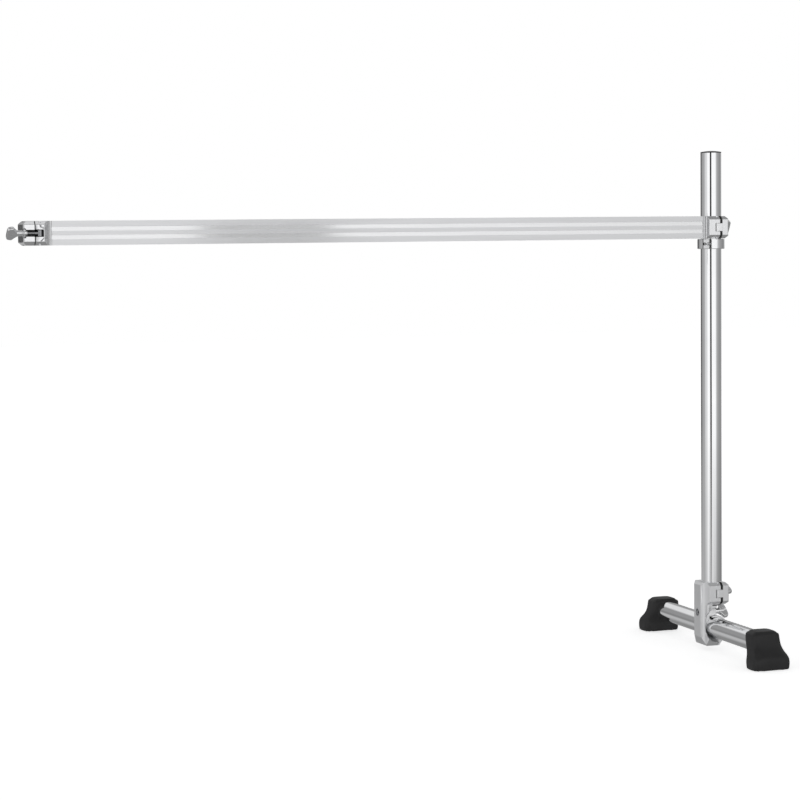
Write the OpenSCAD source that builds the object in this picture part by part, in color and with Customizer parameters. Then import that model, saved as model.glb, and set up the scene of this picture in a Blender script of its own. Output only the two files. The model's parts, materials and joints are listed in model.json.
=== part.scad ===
// Drum-rack side extension: a square grooved bar with a hinged tube clamp at
// each end, carried on a round post that stands in a clamp on a T-leg foot.
// The origin is the centre of the free (rack-end) clamp's bore. +X runs along
// the bar to the post, +Z is up, and the legs reach along Y.

/* [Tubes] */
// Outside diameter of the post and of the leg tube
tube_d = 38.1; // [38.1:0.1:38.1]
// Wall thickness of both tubes
tube_wall = 1.5; // [1.2:0.1:2]
// Length of the post
post_len = 838; // [700:1:950]
// Length of the leg tube
leg_len = 450; // [420:1:520]
// How far the leg tube is slid towards the rear in its clamp
leg_shift = 5; // [-40:1:40]

/* [Bar] */
// Length of the extrusion between its two clamp castings
bar_len = 1202; // [600:1:1500]
// Outside width and height of the square extrusion
bar_w = 41; // [40:0.5:42]
// Width and height of the square cavity inside it
bar_cavity = 35; // [34:0.5:35]
// Width of each of the two grooves in a face
groove_w = 6.9; // [5:0.1:8]
// Depth of the grooves
groove_depth = 1.4; // [0.8:0.1:1.6]
// Distance from a face's centre line to a groove's centre line
groove_pitch = 7; // [6:0.1:8]

/* [Heights] */
// Height of the bar's centre line above the floor
bar_height = 786.2; // [600:0.1:850]
// Height of the post clamp's centre on the foot casting
foot_post_height = 106.7; // [106.5:0.1:110]
// Height of the leg tube's centre line
leg_height = 42.4; // [41:0.1:42.6]
// Height of the floor of the socket that the post stands in
socket_floor = 83; // [82.5:0.5:83]

/* [Clamp castings] */
// Height of a post clamp along the tube
clamp_h = 41; // [38:0.5:44]
// Radial clearance between a clamp's bore and the tube
bore_gap = 0.08; // [0.06:0.01:0.1]
// Distance from the bore's centre to the end of the bar
seam_x = 26.5; // [26:0.1:28]
// Distance from the post's axis to the foot casting's back face
back_x = 29.5; // [29:0.1:31]
// Distance from the bore's centre to the jaw's outer face
jaw_x = 22.8; // [22.8:0.1:24]
// Distance from the bore's centre to the hinge-side face
hinge_face = 28; // [28:0.1:29]
// Distance from the bore's centre to the bolt-side face
bolt_face = 29.5; // [29.5:0.1:30.5]
// Size of the sloping bevels along the castings' upper and lower edges
edge_bevel = 6; // [4:0.5:6]

/* [Clamp hardware] */
// Thread diameter of the clamp bolts
bolt_d = 6; // [6:0.5:6]
// Diameter of the hinge and pivot pins
pin_d = 4; // [4:0.5:4]
// Diameter of the seat washer's flange
seat_d = 14.6; // [14:0.1:15]
// Diameter of the wing nut's neck
neck_d = 9.8; // [9:0.1:10]
// Tip-to-tip width of a wing nut
wing_span = 31; // [28:0.5:31]
// Thickness of a wing
wing_t = 9; // [8:0.5:10]

/* [Memory collar] */
// Outside diameter of the collar
collar_d = 50; // [50:0.5:52]
// Height of the collar
collar_h = 18.5; // [18:0.5:20]
// Direction of the collar's split, around the post
collar_turn = -121; // [-180:1:180]

/* [Rubber feet] */
// Height of a foot's top
foot_h = 66; // [65.5:0.5:68]
// Width of a foot's tube socket
foot_socket_w = 48.8; // [47:0.2:50]
// Width of a foot's base
foot_base_w = 66; // [60:0.5:70]
// Length of a foot along the leg
foot_len = 40; // [40:0.5:46]
// How far the base is set outward of the socket
foot_set = 20; // [14:0.5:22]

/* [Hidden] */
$fn = 64;
eps = 0.01;

// Colours of the finishes
CHROME = [0.78, 0.79, 0.81];
CASTING = [0.66, 0.67, 0.69];
SATIN = [0.86, 0.87, 0.88];
STEEL = [0.45, 0.46, 0.48];
RUBBER = [0.08, 0.08, 0.085];
PLASTIC = [0.05, 0.05, 0.055];

// Overall places
post_x = bar_len + 2 * seam_x;
floor_z = -bar_height;
tube_r = tube_d / 2;
bore_r = tube_r + bore_gap;
foot_clamp_z = floor_z + foot_post_height;
leg_z = floor_z + leg_height;

// Clamp layout in its own frame: bore along Z, jaw towards +X, hinge at -Y, bolt at +Y
hinge_at = [0.5, -23.6];
pivot_at = [-5.7, 25.4];
pin_r = pin_d / 2;
press_gap = 0.01;
run_gap = 0.06;
tongue_h = 14.6;
tongue_slot_h = 15.4;
knuckle_r = 4.3;
bolt_slot_h = 12.4;
body_end_hinge = 4.8;
jaw_start_hinge = 9.6;
body_end_bolt = 2.2;
jaw_start_bolt = 3.8;
bolt_slot_at = [-11.7, 20.3];
shoulder_x = -17.5;
bar_bolt_shoulder_x = -13;
foot_bolt_shoulder_x = -16.3;
back_half = 13.5;
jaw_corner = [2, 3];
jaw_nose = 15;
jaw_slope = 5.5;
back_slope = 5;
eye_r = 4.4;
eye_h = 11.2;
bolt_r = bolt_d / 2;
seat_face = 18;
seat_gap = 0.5;
seat_r = seat_d / 2;
seat_t = 3.6;
seat_boss_r = 5.2;
seat_boss_t = 2.6;
neck_len = 10.5;
wing_len = 17;
wing_root = 5.5;
wing_tip_r = 2.5;
nut_start = seat_face + seat_gap + seat_t;
bolt_tip = nut_start + neck_len + 11;
spigot_w = bar_cavity - 0.4;
spigot_len = 34;
screw_steps = [10, 24];
screw_head_r = 3;
screw_head_t = 1.4;

// Memory collar in its own frame: split along +X, hinge along -X, key bolt along Y
collar_z = -clamp_h / 2 - 0.7 - collar_h / 2;
collar_gap = 0.6;
collar_pin_at = [-23.4, 0];
collar_pin_r = 1.5;
collar_knuckle_r = 3.6;
collar_tongue_h = 6;
key_x = 22.6;
key_r = 1.9;
key_seat_y = -7.5;
key_reach_y = 8;
key_square = 5;

// Foot casting's leg clamp, in XZ about the leg tube's axis
leg_half = 26;
leg_web_half = 16;
leg_split_x = -10.5;
leg_split_gap = 1.6;
leg_jaw_r = 22.6;
leg_jaw_half = 20;
leg_jaw_start = leg_split_x + leg_split_gap / 2;
leg_lug_half = 9;
leg_lug_x = 4.6;
leg_lug_top = 34.2;
leg_web_z = 35.8;
leg_pin_at = [2, -27.9];
leg_barrel_r = 5.2;
leg_knuckle_half = 22;
leg_tongue_half = 7.3;
leg_bolt_z = 27.6;
leg_bolt_head_r = 6.4;
leg_bolt_head_t = 5.2;
leg_bolt_recess = 7.5;
leg_seat_gap = 0.3;
leg_nut_start = leg_lug_x + leg_seat_gap + seat_t;
leg_neck_len = 4.5;
leg_bolt_tip = leg_nut_start + leg_neck_len + 11;
block_z = foot_post_height - leg_height - clamp_h / 2;
mouth_r = 27.5;
mouth_start = 14;
mouth_rise = 13;
hook_slope = 11;
hook_heel = [-20.5, -15.4];
hook_shoulder_x = -19.2;

// Post ends
cap_h = 3.8;
plug_t = 2;
plug_nose = 2;
post_bottom = floor_z + socket_floor + plug_t;
post_top = post_bottom + post_len;

// Rubber foot, with +Y pointing outward: height and spread of each level
foot_in = leg_len / 2 - foot_len + 4.5;
foot_corner = 5;
foot_levels = [[0, 1], [21, 1], [25.5, 0.8], [30, 0.55], [35, 0.33], [42, 0.14], [55, 0]];
foot_top_w = 28;

// Places a clamp part on the rack end, the post end or the foot's post clamp
module at_rack_end() rotate([0, 0, 180]) children();
module at_post_end() translate([post_x, 0, 0]) children();
module at_foot_post() translate([post_x, 0, foot_clamp_z]) children();
module at_leg() translate([post_x, 0, leg_z]) children();
module at_collar() translate([post_x, 0, collar_z]) rotate([0, 0, collar_turn]) children();

// Turns a XZ outline into a bar of length 2 * half along Y
module along_y(half) rotate([90, 0, 0]) linear_extrude(2 * half, center = true) children();

// Turns a YZ outline into a bar along X
module along_x(len) rotate([90, 0, 90]) linear_extrude(len, center = true) children();

// A cylinder along X that starts at x = 0
module rod_x(r, len) rotate([0, 90, 0]) cylinder(r = r, h = len);

// A cylinder along Z, centred
module rod_z(r, len) cylinder(r = r, h = len, center = true);

// YZ outline of a clamp, bevelled along its upper and lower edges
module clamp_section(h) {
    polygon([
        [-hinge_face, -h / 2 + edge_bevel], [-hinge_face + edge_bevel, -h / 2],
        [bolt_face - edge_bevel, -h / 2], [bolt_face, -h / 2 + edge_bevel],
        [bolt_face, h / 2 - edge_bevel], [bolt_face - edge_bevel, h / 2],
        [-hinge_face + edge_bevel, h / 2], [-hinge_face, h / 2 - edge_bevel]
    ]);
}

// Plan of a clamp body that ends at the square bar
module bar_clamp_plan() {
    polygon([
        [-seam_x, -bar_w / 2], [shoulder_x, -hinge_face], [body_end_hinge, -hinge_face],
        [body_end_hinge, 0], [body_end_bolt, 0], [body_end_bolt, bolt_face],
        [bar_bolt_shoulder_x, bolt_face], [-seam_x, bar_w / 2]
    ]);
}

// Plan of the foot casting's post clamp, with its flat back
module foot_clamp_plan() {
    polygon([
        [-back_x, -back_half], [shoulder_x, -hinge_face], [body_end_hinge, -hinge_face],
        [body_end_hinge, 0], [body_end_bolt, 0], [body_end_bolt, bolt_face],
        [foot_bolt_shoulder_x, bolt_face], [-back_x, back_half]
    ]);
}

// What every clamp body loses: bore, hinge slot, bolt slot and pin holes
module clamp_cuts(h) {
    rod_z(bore_r, h + 1);
    translate([bore_r, 0, 0]) cube([2 * bore_r, 2 * bore_r, h + 1], center = true);
    translate([hinge_at.x - knuckle_r - 0.7, -hinge_face - 1, -tongue_slot_h / 2])
        cube([20, hinge_face - bore_r + 2, tongue_slot_h]);
    translate([hinge_at.x, hinge_at.y, 0]) rod_z(pin_r + press_gap, h + 1);
    translate([bolt_slot_at.x, bolt_slot_at.y, -bolt_slot_h / 2]) cube([20, 20, bolt_slot_h]);
    translate([pivot_at.x, pivot_at.y, 0]) rod_z(pin_r + press_gap, h + 1);
}

// Casting on an end of the bar, with the square spigot that plugs into it
module bar_clamp_body() {
    difference() {
        union() {
            intersection() {
                linear_extrude(clamp_h, center = true) bar_clamp_plan();
                along_x(3 * seam_x) clamp_section(clamp_h);
            }
            translate([-seam_x - spigot_len / 2 + eps, 0, 0])
                cube([spigot_len + 2 * eps, spigot_w, spigot_w], center = true);
        }
        clamp_cuts(clamp_h);
        for (s = screw_steps) translate([-seam_x - s, 0, -bar_w / 2])
            cylinder(r = 2, h = 12);
    }
}

// Hinged jaw that closes on the tube
module clamp_jaw() {
    difference() {
        union() {
            intersection() {
                linear_extrude(clamp_h, center = true) polygon([
                    [jaw_start_hinge, -hinge_face], [jaw_x - jaw_corner.x, -hinge_face],
                    [jaw_x, -hinge_face + jaw_corner.y], [jaw_x, bolt_face - jaw_corner.y],
                    [jaw_x - jaw_corner.x, bolt_face], [jaw_start_bolt, bolt_face],
                    [jaw_start_bolt, 0], [jaw_start_hinge, 0]
                ]);
                along_x(3 * jaw_x) clamp_section(clamp_h);
                along_y(bolt_face + 1) polygon([
                    [0, -clamp_h / 2], [jaw_x - jaw_slope, -clamp_h / 2], [jaw_x, -jaw_nose],
                    [jaw_x, jaw_nose], [jaw_x - jaw_slope, clamp_h / 2], [0, clamp_h / 2]
                ]);
            }
            linear_extrude(tongue_h, center = true) {
                translate(hinge_at) circle(knuckle_r);
                translate([hinge_at.x, -hinge_face + 0.1])
                    square([12, hinge_face - 0.1 - bore_r]);
            }
        }
        rod_z(bore_r, clamp_h + 1);
        translate([hinge_at.x, hinge_at.y, 0]) rod_z(pin_r + run_gap, clamp_h);
        translate([0, pivot_at.y - 5.6, -bolt_slot_h / 2 + 0.4])
            cube([40, 20, bolt_slot_h - 0.8]);
        translate([seat_face, pivot_at.y, 0]) {
            rod_x(seat_r + 0.4, 20);
            translate([0, 0, -seat_r - 0.4]) cube([20, 20, 2 * seat_r + 0.8]);
        }
    }
}

// Pin that the jaw turns on
module jaw_pin() translate([hinge_at.x, hinge_at.y, 0]) rod_z(pin_r, clamp_h - 4);

// Pin that the swing bolt turns on
module bolt_pin() translate([pivot_at.x, pivot_at.y, 0]) rod_z(pin_r, clamp_h - 8);

// Eye bolt that swings out of the clamp's slot
module swing_bolt() {
    difference() {
        translate([pivot_at.x, pivot_at.y, 0]) union() {
            rod_z(eye_r, eye_h);
            rod_x(bolt_r, bolt_tip - pivot_at.x);
        }
        translate([pivot_at.x, pivot_at.y, 0]) rod_z(pin_r + run_gap, eye_h + 1);
    }
}

// Seat washer on a bolt along +X with its flange's inner face at x = 0, and a boss behind it
module seat_washer(boss) {
    difference() {
        union() {
            rod_x(seat_r, seat_t);
            translate([-boss, 0, 0]) rod_x(seat_boss_r, boss + eps);
        }
        translate([-boss - 1, 0, 0]) rod_x(bolt_r + 0.2, seat_t + boss + 2);
    }
}

// Side outline of one half of a wing, from the end of the neck out to the tip
module wing_outline() {
    hull() {
        square([wing_len, wing_root]);
        translate([wing_len / 2, wing_span / 2 - wing_tip_r]) circle(wing_tip_r, $fn = 32);
        translate([wing_len - wing_tip_r, wing_span / 2 - wing_tip_r - 1]) circle(wing_tip_r, $fn = 32);
    }
}

// Wing nut on a bolt along +X, with its neck's free end at x = 0
module wing_nut(turn, neck) {
    rotate([turn, 0, 0]) difference() {
        union() {
            rod_x(neck_d / 2, neck + wing_len - 2);
            translate([neck, 0, 0]) linear_extrude(wing_t, center = true) {
                wing_outline();
                mirror([0, 1]) wing_outline();
            }
        }
        translate([-1, 0, 0]) rod_x(bolt_r + run_gap, neck + wing_len - 4);
    }
}

// A place along the bolt line of a post clamp
module on_bolt(x) translate([x, pivot_at.y, 0]) children();

// Cross-section of the extrusion, with two grooves in each face
module bar_section() {
    difference() {
        square(bar_w, center = true);
        square(bar_cavity, center = true);
        for (side = [0 : 3], s = [-1, 1]) rotate(90 * side) translate([bar_w / 2, s * groove_pitch])
            square([2 * groove_depth, groove_w], center = true);
    }
}

// Puts a child at each of the screws that hold the castings in the bar
module at_bar_screws() {
    for (s = screw_steps, x = [seam_x + s, post_x - seam_x - s])
        translate([x, 0, -bar_w / 2]) children();
}

module bar_extrusion() color(SATIN) difference() {
    translate([seam_x, 0, 0]) rotate([90, 0, 90]) linear_extrude(bar_len) bar_section();
    at_bar_screws() {
        translate([0, 0, -1]) cylinder(r = 2.2, h = 6);
        translate([0, 0, -1]) cylinder(r = screw_head_r + 0.2, h = 1 + screw_head_t + 0.1);
    }
}

module bar_end_screws() color(STEEL) at_bar_screws() difference() {
    union() {
        translate([0, 0, 0.1]) cylinder(r = screw_head_r, h = screw_head_t - 0.1);
        translate([0, 0, 0.2]) cylinder(r = 1.95, h = 11);
    }
    translate([0, 0, -eps]) cylinder(r = 1.2, h = 1, $fn = 6);
}

module rack_end_body() color(CASTING) at_rack_end() bar_clamp_body();
module rack_end_jaw() color(CASTING) at_rack_end() clamp_jaw();
module rack_end_hinge_pin() color(STEEL) at_rack_end() jaw_pin();
module rack_end_swing_bolt() color(STEEL) at_rack_end() swing_bolt();
module rack_end_pivot_pin() color(STEEL) at_rack_end() bolt_pin();
module rack_end_seat_washer() color(CHROME) at_rack_end()
    on_bolt(seat_face + seat_gap) seat_washer(seat_boss_t);
module rack_end_wing_nut() color(CASTING) at_rack_end() on_bolt(nut_start)
    wing_nut(35, neck_len);

module post_end_body() color(CASTING) at_post_end() bar_clamp_body();
module post_end_jaw() color(CASTING) at_post_end() clamp_jaw();
module post_end_hinge_pin() color(STEEL) at_post_end() jaw_pin();
module post_end_swing_bolt() color(STEEL) at_post_end() swing_bolt();
module post_end_pivot_pin() color(STEEL) at_post_end() bolt_pin();
module post_end_seat_washer() color(CHROME) at_post_end()
    on_bolt(seat_face + seat_gap) seat_washer(seat_boss_t);
module post_end_wing_nut() color(CASTING) at_post_end() on_bolt(nut_start)
    wing_nut(120, neck_len);

// Half of the collar's ring, kept on the side of the split that side gives
module collar_ring(side) {
    difference() {
        rod_z(collar_d / 2, collar_h);
        rod_z(bore_r, collar_h + 1);
        translate([0, side * (collar_gap - collar_d), 0])
            cube([2 * collar_d, 2 * collar_d, 2 * collar_h], center = true);
    }
}

module collar_shell() color(CHROME) at_collar() difference() {
    union() {
        collar_ring(1);
        translate(collar_pin_at) rod_z(collar_knuckle_r, collar_h);
    }
    rod_z(bore_r, collar_h + 1);
    translate(collar_pin_at) {
        rod_z(collar_pin_r + press_gap, collar_h + 1);
        rod_z(collar_knuckle_r + 0.5, collar_tongue_h + 0.6);
    }
    translate([key_x, -5, 0]) rotate([-90, 0, 0]) cylinder(r = key_r + 0.5, h = key_reach_y + 6);
}

module collar_gate() color(CHROME) at_collar() difference() {
    union() {
        difference() {
            collar_ring(-1);
            translate(collar_pin_at) rod_z(collar_knuckle_r + 0.5, collar_h + 1);
        }
        difference() {
            translate(collar_pin_at) rod_z(collar_knuckle_r, collar_tongue_h);
            rod_z(bore_r, collar_h + 1);
        }
        translate([-21.3, -4.4, 0]) cube([2.4, 5, collar_tongue_h], center = true);
    }
    rod_z(bore_r, collar_h + 1);
    translate(collar_pin_at) rod_z(collar_pin_r + run_gap, collar_h);
    translate([key_x, -9, 0]) rotate([-90, 0, 0]) cylinder(r = key_r + 0.25, h = 12);
    translate([key_x - 3.8, key_seat_y - 20, -4.4]) cube([20, 20, 8.8]);
}

module collar_hinge_pin() color(STEEL) at_collar()
    translate(collar_pin_at) rod_z(collar_pin_r, collar_h - 2);

module collar_key_bolt() color(STEEL) at_collar() translate([key_x, key_seat_y, 0]) {
    rotate([-90, 0, 0]) cylinder(r = key_r, h = key_reach_y - key_seat_y);
    rotate([90, 0, 0]) cylinder(r = 3.5, h = 1.4);
    translate([0, -3.6, 0]) cube([key_square, 4.8, key_square], center = true);
}

module post_tube() color(CHROME) translate([post_x, 0, post_bottom]) difference() {
    cylinder(r = tube_r, h = post_len);
    translate([0, 0, -1]) cylinder(r = tube_r - tube_wall, h = post_len + 2);
}

// Domed plug for the top of the post
module post_top_cap() color(PLASTIC) translate([post_x, 0, post_top]) {
    intersection() {
        cylinder(r = tube_r, h = cap_h);
        translate([0, 0, cap_h - 90]) sphere(r = 90, $fn = 128);
    }
    translate([0, 0, -14]) cylinder(r = tube_r - tube_wall, h = 14 + eps);
}

// Plug with a tapered nose that stands on the socket's floor
module post_bottom_plug() color(PLASTIC) translate([post_x, 0, post_bottom]) {
    translate([0, 0, -plug_t])
        cylinder(r1 = tube_r - plug_nose, r2 = tube_r - tube_wall, h = plug_t);
    translate([0, 0, -eps]) cylinder(r = tube_r - tube_wall, h = 14);
}

// Side of the casting that hooks round the leg tube, in XZ
module leg_hook_side() {
    polygon([
        [-back_x, block_z + 1], [-back_x, hook_heel.y], [hook_heel.x, leg_pin_at.y - leg_barrel_r],
        [leg_pin_at.x, leg_pin_at.y - leg_barrel_r], [leg_pin_at.x, leg_pin_at.y + leg_barrel_r],
        [leg_split_x - leg_split_gap / 2, -12], [leg_split_x - leg_split_gap / 2, block_z + 1]
    ]);
}

// Plan of the hook, with the same sloping corners as the post clamp above it
module leg_hook_plan() {
    polygon([
        [-back_x, -back_half], [hook_shoulder_x, -leg_half], [10, -leg_half],
        [10, leg_half], [hook_shoulder_x, leg_half], [-back_x, back_half]
    ]);
}

// End view of the hook, in YZ, sloping in at the bottom
module leg_hook_end() {
    low = leg_pin_at.y - leg_barrel_r;
    polygon([
        [-leg_half, block_z + 1], [-leg_half, low + hook_slope], [-leg_knuckle_half, low],
        [leg_knuckle_half, low], [leg_half, low + hook_slope], [leg_half, block_z + 1]
    ]);
}

// Flare at one mouth of the leg tube's bore, widened upwards to the web
module leg_mouth() {
    hull() for (rise = [0, mouth_rise]) translate([0, -mouth_start, rise]) rotate([90, 0, 0])
        cylinder(r1 = bore_r, r2 = mouth_r, h = leg_half + 2 - mouth_start, $fn = 32);
}

// Block of the post clamp, sloping in at the top of its back
module foot_clamp_block() {
    intersection() {
        linear_extrude(clamp_h, center = true) foot_clamp_plan();
        along_x(3 * back_x) clamp_section(clamp_h);
        along_y(bolt_face + 1) polygon([
            [-back_x, -clamp_h / 2], [-back_x, clamp_h / 2 - back_slope],
            [back_slope - back_x, clamp_h / 2], [back_x, clamp_h / 2], [back_x, -clamp_h / 2]
        ]);
    }
}

// Hook, web and hinge barrel, before their holes
module leg_hook() {
    intersection() {
        along_y(leg_half) leg_hook_side();
        linear_extrude(200, center = true) leg_hook_plan();
        along_x(3 * back_x) leg_hook_end();
    }
    along_y(leg_web_half) polygon([
        [-20, leg_web_z], [2.5, leg_web_z], [4.8, block_z + 6], [-20, block_z + 6]
    ]);
    translate([leg_pin_at.x, 0, leg_pin_at.y]) rotate([90, 0, 0])
        rod_z(leg_barrel_r, 2 * leg_knuckle_half);
}

// One casting: the post clamp on top and the hook for the leg tube below it
module foot_body() color(CASTING) at_leg() difference() {
    union() {
        translate([0, 0, block_z + clamp_h / 2]) foot_clamp_block();
        difference() {
            leg_hook();
            leg_mouth();
            mirror([0, 1, 0]) leg_mouth();
        }
    }
    translate([0, 0, socket_floor - leg_height]) cylinder(r = bore_r, h = 100);
    translate([0, 0, block_z + clamp_h / 2]) intersection() {
        clamp_cuts(clamp_h);
        cube([200, 200, clamp_h + eps], center = true);
    }
    rotate([90, 0, 0]) rod_z(bore_r, 4 * leg_half);
    translate([leg_pin_at.x, 0, leg_pin_at.y]) {
        rotate([90, 0, 0]) rod_z(pin_r + press_gap, 60);
        cube([2 * leg_barrel_r + 1, 2 * leg_tongue_half + 0.8, 2 * leg_barrel_r + 8], center = true);
    }
    translate([-back_x - 1, 0, leg_bolt_z]) {
        rod_x(bolt_r + press_gap, 60);
        rod_x(leg_bolt_head_r + 0.6, leg_bolt_recess + 1);
    }
}

module foot_post_jaw() color(CASTING) at_foot_post() clamp_jaw();
module foot_post_hinge_pin() color(STEEL) at_foot_post() jaw_pin();
module foot_post_swing_bolt() color(STEEL) at_foot_post() swing_bolt();
module foot_post_pivot_pin() color(STEEL) at_foot_post() bolt_pin();
module foot_post_seat_washer() color(CHROME) at_foot_post()
    on_bolt(seat_face + seat_gap) seat_washer(seat_boss_t);
module foot_post_wing_nut() color(CASTING) at_foot_post() on_bolt(nut_start)
    wing_nut(20, neck_len);

// Jaw that closes over the leg tube from its +X side, hinged under the tube, and
// relieved past the tube's top so that it can swing clear
module foot_leg_jaw() color(CASTING) at_leg() difference() {
    union() {
        along_y(leg_jaw_half) intersection() {
            circle(leg_jaw_r);
            polygon([
                [leg_jaw_start, 0], [leg_jaw_start, leg_jaw_r], [leg_jaw_r, leg_jaw_r],
                [leg_jaw_r, -leg_jaw_r], [6, -leg_jaw_r], [6, 0]
            ]);
        }
        along_y(leg_lug_half) polygon([
            [leg_jaw_start, 10], [leg_jaw_start, leg_lug_top],
            [leg_lug_x - 1.5, leg_lug_top], [leg_lug_x, leg_lug_top - 1.5], [leg_lug_x, 20], [14, 10]
        ]);
        along_y(leg_tongue_half) polygon([
            [leg_pin_at.x, -32.6], [14, -32.6], [20, -26], [20, -10], [6, -10], [leg_pin_at.x, -23.2]
        ]);
        translate([leg_pin_at.x, 0, leg_pin_at.y]) rotate([90, 0, 0])
            rod_z(4.7, 2 * leg_tongue_half);
    }
    rotate([90, 0, 0]) rod_z(bore_r, 4 * leg_jaw_half);
    translate([-bore_r, -leg_jaw_half - 1, 0]) cube([bore_r, 2 * leg_jaw_half + 2, bore_r]);
    translate([leg_pin_at.x, 0, leg_pin_at.y]) rotate([90, 0, 0]) rod_z(pin_r + run_gap, 40);
    translate([0, 0, leg_bolt_z]) cube([40, 2 * bolt_r + 1, 2 * bolt_r + 2.4], center = true);
    translate([leg_lug_x, 0, leg_bolt_z]) rod_x(seat_r + 0.4, 20);
}

module foot_leg_hinge_pin() color(STEEL) at_leg()
    translate([leg_pin_at.x, 0, leg_pin_at.y]) rotate([90, 0, 0]) rod_z(pin_r, 2 * leg_knuckle_half - 2);

module foot_leg_bolt() color(STEEL) at_leg() translate([leg_bolt_recess - back_x, 0, leg_bolt_z]) {
    rod_x(bolt_r, leg_bolt_tip - leg_bolt_recess + back_x);
    difference() {
        translate([-leg_bolt_head_t, 0, 0]) rod_x(leg_bolt_head_r, leg_bolt_head_t);
        translate([-leg_bolt_head_t - 1, 0, 0]) rotate([0, 90, 0]) cylinder(r = 2.9, h = 4, $fn = 6);
    }
}

module foot_leg_seat_washer() color(CHROME) at_leg()
    translate([leg_lug_x + leg_seat_gap, 0, leg_bolt_z]) seat_washer(0);
module foot_leg_wing_nut() color(CASTING) at_leg() translate([leg_nut_start, 0, leg_bolt_z])
    wing_nut(40, leg_neck_len);

module leg_tube() color(CHROME) at_leg() translate([0, leg_shift, 0]) rotate([90, 0, 0]) difference() {
    rod_z(tube_r, leg_len);
    rod_z(tube_r - tube_wall, leg_len + 2);
}

// Plan slice of a rubber foot: its width, how far out it sits and its height
module foot_slice(width, inset, out, z) {
    translate([0, foot_in + foot_len / 2 + out, z]) linear_extrude(eps) offset(r = foot_corner, $fn = 32)
        square([width - 2 * foot_corner, foot_len - 2 * inset - 2 * foot_corner], center = true);
}

// Slice at one of the levels between the base and the socket's shoulder
module foot_level(level) {
    foot_slice(foot_socket_w + level[1] * (foot_base_w - foot_socket_w), 0, level[1] * foot_set, level[0]);
}

// Rubber foot with +Y outward, on the floor under the leg tube's axis
module rubber_foot() {
    difference() {
        union() {
            for (k = [0 : len(foot_levels) - 2]) hull() {
                foot_level(foot_levels[k]);
                foot_level(foot_levels[k + 1]);
            }
            hull() {
                foot_level(foot_levels[len(foot_levels) - 1]);
                foot_slice(foot_top_w, 2, 0, foot_h - eps);
            }
        }
        translate([0, foot_in - 1, leg_height]) rotate([-90, 0, 0])
            cylinder(r = tube_r, h = leg_len / 2 - foot_in + 1);
    }
}

// The leg tube's middle, on the floor
module at_floor() translate([post_x, leg_shift, floor_z]) children();

module rubber_foot_front() color(RUBBER) at_floor() rotate([0, 0, 180]) rubber_foot();
module rubber_foot_rear() color(RUBBER) at_floor() rubber_foot();

bar_extrusion();
bar_end_screws();
rack_end_body();
rack_end_jaw();
rack_end_hinge_pin();
rack_end_swing_bolt();
rack_end_pivot_pin();
rack_end_seat_washer();
rack_end_wing_nut();
post_end_body();
post_end_jaw();
post_end_hinge_pin();
post_end_swing_bolt();
post_end_pivot_pin();
post_end_seat_washer();
post_end_wing_nut();
collar_shell();
collar_gate();
collar_hinge_pin();
collar_key_bolt();
post_tube();
post_top_cap();
post_bottom_plug();
foot_body();
foot_post_jaw();
foot_post_hinge_pin();
foot_post_swing_bolt();
foot_post_pivot_pin();
foot_post_seat_washer();
foot_post_wing_nut();
foot_leg_jaw();
foot_leg_hinge_pin();
foot_leg_bolt();
foot_leg_seat_washer();
foot_leg_wing_nut();
leg_tube();
rubber_foot_front();
rubber_foot_rear();
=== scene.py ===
import json
from math import atan2, cos, hypot, pi, radians, sin
import bmesh
import bpy
from mathutils import Matrix, Vector

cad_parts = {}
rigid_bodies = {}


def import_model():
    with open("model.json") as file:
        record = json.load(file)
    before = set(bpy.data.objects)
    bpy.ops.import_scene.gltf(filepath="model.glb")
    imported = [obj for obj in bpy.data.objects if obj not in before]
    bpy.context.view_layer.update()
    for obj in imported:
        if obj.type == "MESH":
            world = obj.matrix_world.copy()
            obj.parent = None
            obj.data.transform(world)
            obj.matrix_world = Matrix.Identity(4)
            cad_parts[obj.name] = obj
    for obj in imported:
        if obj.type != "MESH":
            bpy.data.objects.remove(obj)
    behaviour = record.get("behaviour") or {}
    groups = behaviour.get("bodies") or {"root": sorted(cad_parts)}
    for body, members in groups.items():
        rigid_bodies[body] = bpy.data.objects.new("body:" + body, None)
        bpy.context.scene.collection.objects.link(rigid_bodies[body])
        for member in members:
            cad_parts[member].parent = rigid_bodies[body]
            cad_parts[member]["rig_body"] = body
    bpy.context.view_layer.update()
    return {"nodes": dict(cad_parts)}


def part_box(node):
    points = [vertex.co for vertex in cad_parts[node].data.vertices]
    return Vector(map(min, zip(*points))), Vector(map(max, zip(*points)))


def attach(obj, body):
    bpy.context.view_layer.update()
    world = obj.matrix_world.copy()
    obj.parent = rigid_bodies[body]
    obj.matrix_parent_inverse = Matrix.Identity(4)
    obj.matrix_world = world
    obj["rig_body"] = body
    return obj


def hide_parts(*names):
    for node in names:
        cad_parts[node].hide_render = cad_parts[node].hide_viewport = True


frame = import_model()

nodes = frame["nodes"]
scene = bpy.context.scene
scene.view_settings.view_transform = "Standard"
CLAMPS = ("rack_end", "post_end", "foot_post")
WELD = 1e-7  # points closer than this become one


# ---------------------------------------------------------------- places read from the frame
def middle(node):
    low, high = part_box(node)
    return (Vector(low) + Vector(high)) / 2


def extent(node):
    low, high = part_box(node)
    return Vector(high) - Vector(low)


def body_of(node):
    return nodes[node]["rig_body"]


post_x, post_y = middle("post_tube").x, middle("post_tube").y
tube_r = extent("post_tube").x / 2
leg_axis = middle("leg_tube")
floor_z = Vector(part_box("rubber_foot_front")[0]).z


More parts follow.
